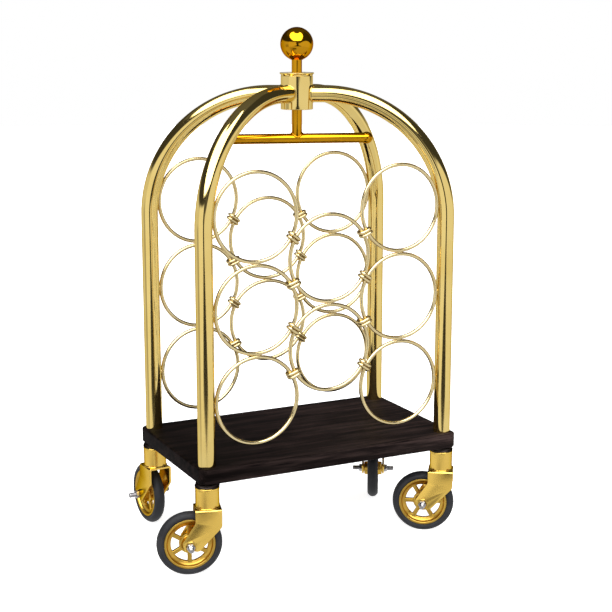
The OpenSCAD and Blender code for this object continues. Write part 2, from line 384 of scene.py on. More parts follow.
def connect(tree, shader, **sockets):
    for key, value in sockets.items():
        tree.links.new(value, shader.inputs[key.replace("_", " ")])


def plated(name, bright, deep, smooth, worn, rim=(1, 1, 1), relief=0.02, cast=0.0):
    """Plated metal: tint varies softly, roughness is mottled, fine polish marks show.

    rim tints what the metal shows at glancing angles.
    """
    made, tree, shader = material(name, Metallic=1.0, Specular_Tint=(*rim, 1))
    cloud = field(tree, 28.0, 3.0)
    speck = field(tree, 900.0, 2.0)
    lines = field(tree, 260.0, 3.0, stretch=(9, 9, 0.5))
    tint = mixed(tree, spread(tree, cloud, 0, 1, (0.35, 0.7)), bright, deep)
    patch = spread(tree, cloud, smooth, worn, (0.3, 0.75))
    fine = add(tree, "Math", {"operation": "MULTIPLY_ADD"}, i0=speck, i1=0.05, i2=patch).outputs[0]
    wave = bump(tree, cloud, 0.25 * cast + 0.01, 0.6 * MM)
    marks = bump(tree, lines, relief, 0.05 * MM, wave)
    connect(tree, shader, Base_Color=tint, Roughness=fine, Normal=bump(tree, speck, relief + cast * 0.2,
                                                                       0.04 * MM, marks))
    return made


def wood_material():
    """Near-black stained board: fine grain along X under a satin lacquer."""
    made, tree, shader = material("deck_wood", Specular_IOR_Level=0.012)
    figure = field(tree, 9.0, 4.0, 0.6, (0.45, 4.0, 4.0), 0.5)
    streaks = field(tree, 52.0, 5.0, 0.62, (0.12, 2.2, 2.2), 0.3)
    pores = field(tree, 420.0, 2.0, 0.5, (0.06, 4.0, 4.0))
    base = ramp(tree, figure, [(0.32, (0.0034, 0.0023, 0.0023)), (0.52, (0.0085, 0.0058, 0.0054)),
                               (0.72, (0.0210, 0.0150, 0.0135))])
    light = ramp(tree, streaks, [(0.44, 0.0), (0.66, 0.85)])
    grain = mixed(tree, light, base, (0.040, 0.026, 0.024))
    dark = ramp(tree, pores, [(0.36, 1.0), (0.47, 0.0)])
    deep = mixed(tree, dark, grain, (0.0020, 0.0014, 0.0015))
    edge = add(tree, "Attribute", {"attribute_name": "edge"}).outputs["Fac"]
    rub = field(tree, 130.0, 4.0, 0.7)
    worn = add(tree, "Math", {"operation": "MULTIPLY", "use_clamp": True}, i0=edge,
               i1=spread(tree, rub, 0.0, 1.0, (0.50, 0.72))).outputs[0]
    along = add(tree, "SeparateXYZ", Vector=add(tree, "TexCoord").outputs["Object"]).outputs["X"]
    painted_left_shade = spread(tree, along, 0.35, 1.25, (-0.16, 0.12))      # painted shade: the board's colour darkens towards its left end
    tone = mixed(tree, 1.0, mixed(tree, worn, deep, (0.026, 0.017, 0.014)), painted_left_shade, "MULTIPLY")
    rough = add(tree, "Math", {"operation": "ADD", "use_clamp": True}, i0=spread(tree, streaks, 0.42, 0.58),
                i1=spread(tree, pores, 0.08, 0.0, (0.3, 0.5))).outputs[0]
    relief = bump(tree, pores, 0.35, 0.12 * MM, bump(tree, streaks, 0.22, 0.15 * MM))
    connect(tree, shader, Base_Color=tone, Roughness=rough, Normal=relief)
    return made


def rubber_material():
    """Charcoal rubber, with pale dust in patches and a fine moulded texture."""
    made, tree, shader = material("tyre_rubber", Specular_IOR_Level=0.30)
    dust = field(tree, 45.0, 6.0, 0.7)
    grit = field(tree, 1500.0, 2.0)
    tone = mixed(tree, spread(tree, dust, 0.0, 0.55, (0.48, 0.75)), (0.010, 0.0105, 0.013),
                 (0.030, 0.030, 0.034))
    connect(tree, shader, Base_Color=tone, Roughness=spread(tree, dust, 0.46, 0.68, (0.3, 0.7)),
            Normal=bump(tree, grit, 0.16, 0.05 * MM, bump(tree, dust, 0.1, 0.2 * MM)))
    return made


def zinc_material():
    """Bright zinc plate with a faint spangle and turning marks."""
    made, tree, shader = material("zinc_steel", Metallic=1.0)
    spangle = field(tree, 240.0, 3.0, 0.6)
    turned = field(tree, 500.0, 2.0, 0.5, (0.2, 0.2, 6.0))
    tone = mixed(tree, spread(tree, spangle, 0, 1, (0.35, 0.68)), (0.62, 0.61, 0.62), (0.34, 0.33, 0.34))
    connect(tree, shader, Base_Color=tone, Roughness=spread(tree, spangle, 0.20, 0.38, (0.3, 0.7)),
            Normal=bump(tree, turned, 0.10, 0.06 * MM))
    return made


PLATES = {
    "frame_brass": dict(bright=(0.84, 0.64, 0.23), deep=(0.80, 0.59, 0.19), smooth=0.035, worn=0.07,
                        rim=(0.80, 0.68, 0.42)),
    "amber_brass": dict(bright=(0.62, 0.30, 0.010), deep=(0.54, 0.24, 0.007), smooth=0.05, worn=0.09,
                        rim=(0.50, 0.30, 0.10)),
    "ring_wire": dict(bright=(0.82, 0.68, 0.38), deep=(0.74, 0.59, 0.30), smooth=0.15, worn=0.25,
                      rim=(0.60, 0.50, 0.36), relief=0.05),
    "caster_gold": dict(bright=(0.93, 0.63, 0.14), deep=(0.86, 0.57, 0.12), smooth=0.16, worn=0.23,
                        rim=(0.30, 0.21, 0.09), relief=0.05, cast=0.06),
    "rim_gold": dict(bright=(0.72, 0.46, 0.085), deep=(0.52, 0.31, 0.05), smooth=0.22, worn=0.34,
                     rim=(0.6, 0.45, 0.25), relief=0.06, cast=0.35),
    # dark_steel is painted shade: the zinc stem collars and race rings under the deck get a near-black finish in
    # place of the deck's shadow on them
    "dark_steel": dict(bright=(0.050, 0.040, 0.036), deep=(0.022, 0.017, 0.016), smooth=0.28, worn=0.42,
                       rim=(0.30, 0.27, 0.25), relief=0.04),
}
MATERIALS = {name: plated(name, **values) for name, values in PLATES.items()}
MATERIALS |= {"zinc_steel": zinc_material(), "tyre_rubber": rubber_material(), "deck_wood": wood_material()}
SLOTS = {entry["node"]: entry["material_slot"] for entry in frame["record"]["subparts"]}


def piece(name, mesh, body, *nodes, finish=None):
    """Puts a mesh in the scene as a piece that rides on a body and stands for CAD nodes."""
    obj = bpy.data.objects.new(name, mesh)
    bpy.context.scene.collection.objects.link(obj)
    finish = finish or SLOTS[nodes[0]]
    if not mesh.materials:
        mesh.materials.append(MATERIALS[finish])
    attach(obj, body)
    if nodes:
        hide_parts(*nodes)
    return obj


# ---- Deck ----

def rounded_rectangle(half_x, half_y, radius, steps=10):
    points = []
    for quarter, (sx, sy) in enumerate(((1, 1), (-1, 1), (-1, -1), (1, -1))):
        for k in range(steps + 1):
            a = math.radians(90 * (quarter + k / steps))
            points.append((sx * (half_x - radius) + radius * math.cos(a),
                           sy * (half_y - radius) + radius * math.sin(a)))
    return points


def deck_mesh():
    """The board, with rounded corners, rolled edges and a hole for each caster stem."""
    corner, ease, arc = 10 * MM, 2.0 * MM, 5
    stem_hole, foot_hole, hole_sides = 5.2 * MM, TUBE_R + SLIP, 48
    steps = ((stem_hole, -DECK.z), (stem_hole, -LEG_SINK), (foot_hole, -LEG_SINK), (foot_hole, 0.0))
    bm = bmesh.new()
    edge = bm.verts.layers.float.new("edge")
    rings = []
    for upper in (False, True):
        for k in range(arc + 1):
            a = math.radians(90 * k / arc)
            inset = ease * (1 - (math.cos(a) if upper else math.sin(a)))
            height = -ease * (1 - math.sin(a)) if upper else -DECK.z + ease * (1 - math.cos(a))
            outline = rounded_rectangle(DECK.x / 2 - inset, DECK.y / 2 - inset, corner - inset)
            ring = [bm.verts.new((x, y, height)) for x, y in outline]
            for v in ring:
                v[edge] = math.sin(math.pi * k / arc)
            rings.append(ring)
    for low, high in zip(rings, rings[1:]):
        for i in range(len(low)):
            j = (i + 1) % len(low)
            bm.faces.new((low[i], low[j], high[j], high[i]))
    mouths = {-DECK.z: [rings[0]], 0.0: [rings[-1]]}
    for name in CORNERS:
        loops = [[bm.verts.new((post(name).x + r * math.cos(math.tau * k / hole_sides),
                                post(name).y + r * math.sin(math.tau * k / hole_sides), z))
                  for k in range(hole_sides)] for r, z in steps]
        for low, high in zip(loops, loops[1:]):
            for i in range(hole_sides):
                j = (i + 1) % hole_sides
                bm.faces.new((low[i], high[i], high[j], low[j]))
        mouths[-DECK.z].append(loops[0])
        mouths[0.0].append(loops[-1])
    for loops in mouths.values():
        edges = []
        for loop in loops:
            for i in range(len(loop)):
                pair = (loop[i], loop[(i + 1) % len(loop)])
                edges.append(bm.edges.get(pair) or bm.edges.new(pair))
        bmesh.ops.triangle_fill(bm, edges=edges, use_beauty=True, normal=(0, 0, 1))
    bmesh.ops.recalc_face_normals(bm, faces=bm.faces)
    mesh = bpy.data.meshes.new("deck_board")
    bm.to_mesh(mesh)
    bm.free()
    return shade(mesh, 30)


piece("deck_board", deck_mesh(), "root", "deck")


# ---- Legs, hub and hanger ----

def leg_path(corner):
    """Centre line of a leg: up, round the bend, and level into the hub."""
    foot = post(corner)
    inward = -foot.normalized()
    top = ARCH_Z - BEND_R
    rise, turns, entry = 24, 72, HUB_R - 1.5 * MM
    path = [foot + Vector((0, 0, -LEG_SINK + (top + LEG_SINK) * k / rise)) for k in range(rise)]
    for k in range(turns + 1):
        a = math.radians(90 * k / turns)
        path.append(foot + inward * BEND_R * (1 - math.cos(a)) + Vector((0, 0, top + BEND_R * math.sin(a))))
    path.append(inward * -entry + Vector((0, 0, ARCH_Z)))
    return path


def saddle_bead(corner):
    """The braze fillet where a leg meets the hub."""
    away = post(corner).normalized()
    across = Vector((-away.y, away.x, 0))
    path = []
    for k in range(60):
        a = math.tau * k / 60
        side, up = TUBE_R * math.cos(a), TUBE_R * math.sin(a)
        reach = math.sqrt(HUB_R ** 2 - side ** 2)
        path.append(away * reach + across * side + Vector((0, 0, ARCH_Z + up)))
    return tube("bead", path, bumpy(0.75 * MM, 0.3, 2.5, post(corner).x * 90), 10, closed=True, sharp=60)


def tee_bead():
    """The weld where the rod meets the bar."""
    path = []
    for k in range(48):
        a = math.tau * k / 48
        x, y = (ROD_R + 0.2 * MM) * math.cos(a), ROD_R * 0.96 * math.sin(a)
        path.append((x, y, BAR_Z + math.sqrt(max(ROD_R ** 2 - y ** 2, 0))))
    bead = tube("bead", path, bumpy(1.3 * MM, 0.35, 3.0, 4.0), 10, closed=True, sharp=60)
    return moved(bead, Matrix.Rotation(BAR_TURN, 4, "Z"))


for corner in CORNERS:
    piece("tube_" + corner, tube("tube_" + corner, leg_path(corner), TUBE_R, 56), "root", "leg_" + corner)

piece("hub_braze", joined("hub_braze", [saddle_bead(c) for c in CORNERS], 60), "root", finish="frame_brass")


def hub_mesh():
    low, high, hole = HUB_LOW.z, HUB_HIGH.z, ROD_R + SLIP
    outline = [(hole, low), (HUB_R, low), (HUB_R, high), (hole, high)]
    return lathe("hub_body", soften(outline, [0.3 * MM, 0.9 * MM, 0.1 * MM, 0.1 * MM]), 96)


def cap_mesh():
    low, high, hole = CAP_LOW.z, CAP_HIGH.z, ROD_R + SLIP
    outline = [(hole, low), (HUB_R - 0.4 * MM, low), (HUB_R + 0.1 * MM, low + 1.6 * MM),
               (CAP_R, low + 2.5 * MM), (CAP_R, high - 0.2 * MM), (CAP_R - 1.2 * MM, high),
               (hole + 1 * MM, high - 0.3 * MM), (hole, high - 0.8 * MM)]
    return lathe("hub_rim", soften(outline, 0.35 * MM), 96)


piece("hub_body", hub_mesh(), "root", "hub")
piece("hub_rim", cap_mesh(), "root", "hub_cap")


def ball_mesh():
    """Ball with a small turned seat where the rod enters."""
    low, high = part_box("finial_ball")
    ball_r = size("finial_ball").x / 2
    centre = high.z - ball_r
    start = math.asin((ROD_R + 1.2 * MM) / ball_r)
    outline = [(0, centre + ball_r)]
    for k in range(1, 49):
        a = math.radians(180 * k / 48) * (1 - start / math.pi)
        outline.append((ball_r * math.sin(a), centre + ball_r * math.cos(a)))
    seat = max(low.z, outline[-1][1] - 0.9 * MM)
    outline += [(ROD_R + 1.0 * MM, seat), (ROD_R + SLIP, seat), (ROD_R + SLIP, centre - 11 * MM),
                (0, centre - 11 * MM)]
    return lathe("ball", outline, 96, 50)


def bar_mesh():
    """Round bar with a ball turned on each end."""
    half = math.hypot(*BAR_REACH)
    neck = math.degrees(math.asin(ROD_R / BAR_END_R))
    dome = 14
    outline = [(BAR_END_R * math.sin(math.radians(a)), -half - BAR_END_R * math.cos(math.radians(a)))
               for a in ((180 - neck) * k / dome for k in range(dome + 1))]
    outline += [(ROD_R, outline[-1][1] + 0.3 * MM)]
    outline += [(r, -z) for r, z in reversed(outline)]
    return moved(lathe("bar", outline, 48, 30),
                 Matrix.Translation((0, 0, BAR_Z)) @ Matrix.Rotation(BAR_TURN, 4, "Z")
                 @ Matrix.Rotation(math.radians(90), 4, "Y"))


def rod_mesh():
    foot, top = BAR_Z + 2 * MM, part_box("hanger_rod")[1].z
    outline = [(0, foot), (ROD_R, foot), (ROD_R, top), (0, top)]
    return lathe("rod", soften(outline, [0, 0.1 * MM, 0.5 * MM, 0]), 48)


piece("ball", ball_mesh(), "root", "finial_ball")
piece("rod", rod_mesh(), "root", "hanger_rod")
piece("bar", bar_mesh(), "root", "hanger_bar")
piece("bar_weld", tee_bead(), "root", finish="amber_brass")


# ---- Bottle rings and their ties ----

def ring_mesh(centre):
    path = [centre + Vector((RING_R * math.cos(math.tau * k / 128), 0, RING_R * math.sin(math.tau * k / 128)))
            for k in range(128)]
    return tube("ring", path, WIRE_R, 20, closed=True, sharp=60)


def column_mesh(panel, column):
    """Rings brazed one above another, and to their leg if they stand beside one."""
    node = f"rings_{panel}_{column}"
    low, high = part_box(node)
    side = {"left": -1, "middle": 0, "right": 1}[column]
    count = round((high.z - low.z - 2 * RING_OUT) / RING_PITCH) + 1
    x = (low.x + RING_OUT) if side > 0 else (high.x - RING_OUT) if side < 0 else 0
    y = (low.y + high.y) / 2
    seed = x * 40 + y * 90
    parts = []
    for n in range(count):
        centre = Vector((x, y, low.z + RING_OUT + n * RING_PITCH))
        parts.append(ring_mesh(centre))
        if n:
            joint = centre - Vector((0, 0, RING_PITCH / 2))
            parts.append(lump("braze", joint, (4.6 * MM, 1.5 * MM, 1.5 * MM), seed + n))
        if side:
            touch = centre + Vector((side * (RING_OUT - 0.3 * MM), 0, 0))
            parts.append(lump("braze", touch, (1.2 * MM, 1.5 * MM, 4.0 * MM), seed + n + 7))
    return joined(node, parts, 60)


def tie_mesh(place, tilt, seed):
    """A wire wrapped twice round two ring wires, with its ends behind."""
    wire, rise, turns, steps = 2.0 * MM, 4.3 * MM, 2.08, 48
    span = math.hypot(COLUMN_X, RING_PITCH / 2) - 2 * RING_R
    around = WIRE_R + wire + 0.03 * MM
    straight, arc = span, math.pi * around
    lap = 2 * (straight + arc)
    path = []
    total = int(turns * steps)
    for k in range(total + 1):
        s = (k / steps + 0.03 * (seed % 3)) * lap % lap
        lift = (k / total - 0.5) * rise * turns
        if s < straight:
            x, y = s - span / 2, around
        elif s < straight + arc:
            a = (s - straight) / around
            x, y = span / 2 + around * math.sin(a), around * math.cos(a)
        elif s < 2 * straight + arc:
            x, y = span / 2 - (s - straight - arc), -around
        else:
            a = (s - 2 * straight - arc) / around
            x, y = -span / 2 - around * math.sin(a), -around * math.cos(a)
        path.append((x, y, lift))
    mesh = tube("tie", path, wire, 14, sharp=60)
    return moved(mesh, Matrix.Translation(place) @ Matrix.Rotation(tilt, 4, "Y"))


COLUMN_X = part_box("rings_front_right")[0].x + RING_OUT
for panel in PANELS:
    for column in COLUMNS:
        name = f"{panel}_{column}_rings"
        piece(name, column_mesh(panel, column), "root", f"rings_{panel}_{column}")
    low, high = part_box(f"rings_{panel}_middle")
    ties = []
    for n in range(2):
        for side in (-1, 1):
            for up in (-1, 1):
                centre = low.z + RING_OUT + n * RING_PITCH
                place = Vector((side * COLUMN_X / 2, (low.y + high.y) / 2, centre + up * RING_PITCH / 4))
                tilt = -side * up * math.atan2(RING_PITCH / 2, COLUMN_X)
                ties.append(tie_mesh(place, tilt, len(ties)))
    piece(f"{panel}_ties", joined(f"{panel}_ties", ties, 60), "root", f"wire_ties_{panel}")


# ---- Casters ----

def stem_mesh():
    """Threaded pin, collar under the deck, journal and rivet head, on the Z axis."""
    low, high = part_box("stem_front_left")
    race_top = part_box("race_ring_front_left")[1].z
    pin, head, head_h = 5 * MM, 8 * MM, 2.8 * MM
    outline = [(0, low.z), (head, low.z), (head, low.z + head_h), (pin, low.z + head_h), (pin, race_top),
               (13.3 * MM, race_top), (13.3 * MM, race_top + 1.4 * MM), (12.1 * MM, race_top + 2.0 * MM),
               (12.4 * MM, -DECK.z - 0.6 * MM), (12.0 * MM, -DECK.z), (pin, -DECK.z)]
    pitch = 1.5 * MM
    z = -DECK.z + pitch
    while z < high.z - pitch:
        outline += [(pin, z), (pin - 0.6 * MM, z + pitch / 2)]
        z += pitch
    outline += [(pin, high.z - 1 * MM), (pin - 1 * MM, high.z), (0, high.z)]
    return lathe("stem", outline, 64, 30)


def race_mesh():
    low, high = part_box("race_ring_front_left")
    r = size("race_ring_front_left").x / 2
    hole = 5 * MM + SLIP
    outline = [(hole, low.z), (r - 0.3 * MM, low.z), (r, low.z + 1.0 * MM), (r, high.z - 0.9 * MM),
               (r - 0.8 * MM, high.z), (hole, high.z)]
    return lathe("race", soften(outline, 0.35 * MM), 72)


def barrel_mesh():
    low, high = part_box("barrel_front_left")
    hole, seat_r, seat = 5 * MM + SLIP, 8.4 * MM, 4 * MM
    lip = 0.35 * MM
    outline = [(seat_r, low.z), (BARREL_R - lip, low.z), (BARREL_R - lip, high.z - 3.0 * MM),
               (BARREL_R, high.z - 2.4 * MM), (BARREL_R, high.z), (hole, high.z),
               (hole, low.z + seat), (seat_r, low.z + seat)]
    rounds = [0.1 * MM, 0.3 * MM, 0.3 * MM, 0.3 * MM, 0.9 * MM, 0.2 * MM, 0.1 * MM, 0.1 * MM]
    return lathe("barrel", soften(outline, rounds), 80)


def crown_weld():
    """The bead that joins barrel and fork."""
    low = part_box("barrel_front_left")[0]
    path = [(BARREL_R * 0.985 * math.cos(math.tau * k / 90), BARREL_R * 0.985 * math.sin(math.tau * k / 90),
             low.z + 0.25 * MM) for k in range(90)]
    return tube("weld", path, bumpy(0.8 * MM, 0.28, 7.0, 2.0), 10, closed=True, sharp=60)


def fork_mesh():
    """A bent sheet: crown, two cheeks that slant back to the axle, and a slot in each."""
    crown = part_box("fork_front_left")[1].z
    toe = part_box("fork_front_left")[0].z
    half, prong = 15 * MM, 9 * MM
    knee = crown - 15 * MM
    side = [(-half, crown + MM), (half, crown + MM), (half, knee), (TRAIL + prong, AXLE_Z + 4.5 * MM),
            (TRAIL + prong - 2.3 * MM, toe), (TRAIL - prong - MM, toe), (-half, knee - 6 * MM)]
    outline = soften(side, [0, 0, 5 * MM, 4 * MM, 2 * MM, 3 * MM, 7 * MM], 6)
    body = moved(prism("side", outline, -30 * MM, 30 * MM), Matrix.Rotation(math.radians(90), 4, "X"))
    depth = crown - toe + 5 * MM
    inner = FORK_HALF_W - PLATE
    channel = [(-FORK_HALF_W, -depth), (-inner, -depth), (-inner, -PLATE), (inner, -PLATE),
               (inner, -depth), (FORK_HALF_W, -depth), (FORK_HALF_W, 0), (-FORK_HALF_W, 0)]
    bends = [0, 0, 1.2 * MM, 1.2 * MM, 0, 0, 3.2 * MM, 3.2 * MM]
    lengthwise = Matrix(((0, 0, 1, 0), (1, 0, 0, 0), (0, 1, 0, 0), (0, 0, 0, 1)))
    standing = Matrix.Translation((0, 0, crown)) @ lengthwise
    sheet = moved(prism("channel", soften(channel, bends, 8), -40 * MM, 60 * MM), standing)
    result = combined(body, sheet, "INTERSECT")
    gap = SLEEVE_R + SLIP
    arch = [(gap * math.cos(math.radians(a)), gap * math.sin(math.radians(a))) for a in range(0, 181, 10)]
    slot = arch + [(-gap, -20 * MM), (gap, -20 * MM)]
    cutter = moved(prism("slot", slot, -30 * MM, 30 * MM),
                   Matrix.Translation((TRAIL, 0, AXLE_Z)) @ Matrix.Rotation(math.radians(90), 4, "X"))
    result = combined(result, cutter, "DIFFERENCE")
    return bevelled(result, 0.35 * MM, 2)


def sleeve_mesh():
    outline = [(3.05 * MM, -SLEEVE_HALF), (SLEEVE_R, -SLEEVE_HALF), (SLEEVE_R, SLEEVE_HALF),
               (3.05 * MM, SLEEVE_HALF)]
    return lathe("sleeve", soften(outline, 0.3 * MM), 40)


def stud_mesh():
    """Axle stud: plain in the middle, threaded outside the cheeks, with rounded tips."""
    half, r, pitch = 27 * MM, 3 * MM, 0.8 * MM
    run = [(0, half), (r - 1.1 * MM, half), (r - 0.35 * MM, half - 0.7 * MM)]
    z = half - 1.2 * MM
    while z > SLEEVE_HALF + pitch:
        run += [(r, z), (r - 0.4 * MM, z - pitch / 2)]
        z -= pitch
    run += [(r - 0.1 * MM, z)]
    outline = run + [(x, -y) for x, y in reversed(run)]
    return lathe("stud", outline, 32, 25)


def nuts_mesh():
    """Two hexagon nuts with chamfered corners and a threaded bore."""
    thick, corner_r, bore = 5.5 * MM, 4.9 * MM, 3.05 * MM
    hexagon = [(corner_r * math.cos(math.radians(60 * k)), corner_r * math.sin(math.radians(60 * k)))
               for k in range(6)]
    parts = []
    for s in (-1, 1):
        low = s * (SLEEVE_HALF + thick / 2) - thick / 2
        block = prism("nut", hexagon, low, low + thick)
        drop, flat = 0.75 * MM, 4.1 * MM
        barrel = [(bore + 0.4 * MM, low), (flat, low), (corner_r + 0.1 * MM, low + drop),
                  (corner_r + 0.1 * MM, low + thick - drop), (flat, low + thick),
                  (bore + 0.4 * MM, low + thick), (bore, low + thick - 0.4 * MM), (bore, low + 0.4 * MM)]
        shaped = combined(block, lathe("chamfer", barrel, 48), "INTERSECT", 25)
        parts.append(bevelled(shaped, 0.12 * MM, 2, 35))
    return joined("nuts", parts, 35)


def tyre_mesh():
    """Rubber tyre: thin bead at the rim, hollow sidewall, shoulder and crowned tread."""
    half_w = 6.8 * MM
    bead = RIM_R + SLIP
    side = [(bead, 0), (bead, 5.6 * MM), (bead + 1.5 * MM, 6.3 * MM), (bead + 3.2 * MM, half_w),
            (bead + 5.0 * MM, 6.1 * MM), (bead + 5.3 * MM, 5.7 * MM), (bead + 6.6 * MM, 4.5 * MM),
            (bead + 7.6 * MM, 2.9 * MM), (WHEEL_R - 0.12 * MM, 1.3 * MM),
            (WHEEL_R - 0.02 * MM, 0.5 * MM), (WHEEL_R, 0.0)]
    outline = side + [(r, -z) for r, z in reversed(side[1:-1])]
    return lathe("tyre", soften(outline, 0.5 * MM, 3), 120, 30)


def rim_mesh():
    """Cast wheel centre: hub, six-spoked web with rounded windows, and a raised band."""
    spokes, spoke_half, inner = 6, 2.5 * MM, 12 * MM
    band_in = RIM_R - 3.2 * MM
    outer_window = band_in - 4.9 * MM
    bore, hub_r = SLEEVE_R + SLIP, 8.6 * MM
    # From the bore outwards: radius in metres, and half thickness in millimetres.
    rows = [(bore, 11.1), (bore + 0.4 * MM, 11.5), (hub_r - 0.8 * MM, 11.5), (hub_r, 10.8),
            (hub_r + 0.2 * MM, 3.2), (hub_r + 1.2 * MM, 2.3), (inner - 0.5 * MM, 2.2), (inner, 1.9),
            (inner + 1.6 * MM, 1.9), (18 * MM, 1.9), (outer_window - 1.6 * MM, 1.9), (outer_window, 1.9),
            (outer_window + 0.5 * MM, 2.2), (band_in - 0.7 * MM, 3.4), (band_in, 5.2),
            (band_in + 0.5 * MM, 6.1), (RIM_R - 0.9 * MM, 6.2), (RIM_R - 0.25 * MM, 6.1), (RIM_R, 5.6)]
    first, last = 7, 11                  # the rows that the windows span
    sector, steps = math.tau / spokes, 6

    def angles(r):
        """Column angles across one sector, from one spoke's middle to the next."""
        rib = math.asin(min(spoke_half / r, 0.42))
        clear = sector - 2 * rib
        soft = min(0.9 * MM / r, clear * 0.2)
        arc = [rib + soft + (clear - 2 * soft) * k / steps for k in range(steps + 1)]
        return [0, rib * 0.75, rib, *arc, sector - rib, sector - rib * 0.75]

    columns = len(angles(rows[0][0]))
    opened = range(2, columns - 2)
    bm = bmesh.new()
    grid = {}
    for s in range(spokes):
        for j, (r, h) in enumerate(rows):
            for c, a in enumerate(angles(r)):
                on_spoke = c in (0, 1, columns - 1)
                lift = 0.55 if first <= j <= last and on_spoke else 0.0
                turn = s * sector + a
                for face in (1, -1):
                    z = face * (h + lift) * MM
                    grid[s * columns + c, j, face] = bm.verts.new((r * math.cos(turn), r * math.sin(turn), z))
    total = spokes * columns

    def is_open(column, row):
        return column % columns in opened and first <= row < last

    for i in range(total):
        n = (i + 1) % total
        for j in range(len(rows) - 1):
            if is_open(i, j):
                continue
            for face in (1, -1):
                bm.faces.new((grid[i, j, face], grid[n, j, face], grid[n, j + 1, face], grid[i, j + 1, face]))
            for (a, b), beyond in ((((i, j), (i, j + 1)), (i - 1) % total), (((n, j), (n, j + 1)), n)):
                if is_open(beyond, j):
                    bm.faces.new((grid[a + (1,)], grid[b + (1,)], grid[b + (-1,)], grid[a + (-1,)]))
            for row, beyond in ((j, j - 1), (j + 1, j + 1)):
                if is_open(i, beyond) and 0 <= beyond < len(rows) - 1:
                    bm.faces.new((grid[i, row, 1], grid[n, row, 1], grid[n, row, -1], grid[i, row, -1]))
        for row in (0, len(rows) - 1):
            bm.faces.new((grid[i, row, 1], grid[n, row, 1], grid[n, row, -1], grid[i, row, -1]))
    bmesh.ops.recalc_face_normals(bm, faces=bm.faces)
    mesh = bpy.data.meshes.new("rim")
    bm.to_mesh(mesh)
    bm.free()
    obj = scratch(mesh)
    modifier = obj.modifiers.new("smooth", "SUBSURF")
    modifier.levels = modifier.render_levels = 2
    return shade(evaluated(obj), 60)


WHEEL_TURNS = {"front_left": 30, "front_right": 0, "back_left": 10, "back_right": 20}
CASTER_MESHES = {
    "stem": stem_mesh(), "race_ring": race_mesh(), "barrel": barrel_mesh(), "fork": fork_mesh(),
}
AXLE_MESHES = {
    "axle_sleeve": sleeve_mesh(), "axle_stud": stud_mesh(), "axle_nuts": nuts_mesh(),
    "wheel_rim": rim_mesh(), "tyre": tyre_mesh(),
}
weld = crown_weld()
for corner in CORNERS:
    caster, wheel = "caster_" + corner, "wheel_" + corner
    for kind, mesh in CASTER_MESHES.items():
        body = "root" if kind in ("stem", "race_ring") else caster
        piece(f"{kind}_piece_{corner}", moved(mesh.copy(), caster_frame(corner)), body, f"{kind}_{corner}")
    piece(f"weld_{corner}", moved(weld.copy(), caster_frame(corner)), caster, finish="caster_gold")
    for kind, mesh in AXLE_MESHES.items():
        rolls = kind in ("wheel_rim", "tyre")
        turn = math.radians(WHEEL_TURNS[corner]) if rolls else 0
        piece(f"{kind}_piece_{corner}", moved(mesh.copy(), axle_frame(corner, turn)),
              wheel if rolls else caster, f"{kind}_{corner}")
for mesh in [weld, *CASTER_MESHES.values(), *AXLE_MESHES.values()]:
    bpy.data.meshes.remove(mesh)

# ---- The CAD node that stays as it is ----

inserts = frame["nodes"]["leg_inserts"].data
inserts.materials.clear()
inserts.materials.append(MATERIALS[SLOTS["leg_inserts"]])
shade(inserts)

# ---- Studio ----

FLOOR_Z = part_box("tyre_front_left")[0].z
VIEW_AZIMUTH = math.radians(-26.33)      # camera's place round the cart, from straight ahead
VIEW_ELEVATION = math.radians(11.49)
VIEW_DISTANCE = 1.648
VIEW_TARGET = Vector((0.0, -0.024, 0.158))
FOCAL_LENGTH = 81.83                     # on a 36 mm wide sensor


def towards_camera(azimuth, elevation):
    return Vector((math.sin(azimuth) * math.cos(elevation), -math.cos(azimuth) * math.cos(elevation),
                   math.sin(elevation)))


def look(obj, place, target):
    obj.location = place
    obj.rotation_euler = (target - place).to_track_quat("-Z", "Y").to_euler()


def add_camera():
    data = bpy.data.cameras.new("camera")
    data.lens = FOCAL_LENGTH
    data.sensor_width = 36
    camera = bpy.data.objects.new("camera", data)
    bpy.context.scene.collection.objects.link(camera)
    look(camera, VIEW_TARGET + towards_camera(VIEW_AZIMUTH, VIEW_ELEVATION) * VIEW_DISTANCE, VIEW_TARGET)
    bpy.context.scene.camera = camera


def add_floor():
    """A pale floor. The brass shows the studio's own floor instead."""
    bm = bmesh.new()
    bmesh.ops.create_circle(bm, cap_ends=True, segments=96, radius=7)
    mesh = bpy.data.meshes.new("floor")
    bm.to_mesh(mesh)
    bm.free()
    floor = bpy.data.objects.new("floor", mesh)
    floor.location = (0, 0, FLOOR_Z)
    bpy.context.scene.collection.objects.link(floor)
    made, tree, shader = material("floor", Roughness=0.9)
    speck = field(tree, 4.0, 3.0)
    connect(tree, shader, Base_Color=ramp(tree, speck, [(0.3, 0.80), (0.7, 0.82)]))
    shader.inputs["Emission Color"].default_value = (1, 1, 1, 1)
    shader.inputs["Emission Strength"].default_value = 0.86     # burns out all but the contact shadows
    mesh.materials.append(made)
    floor.visible_glossy = False


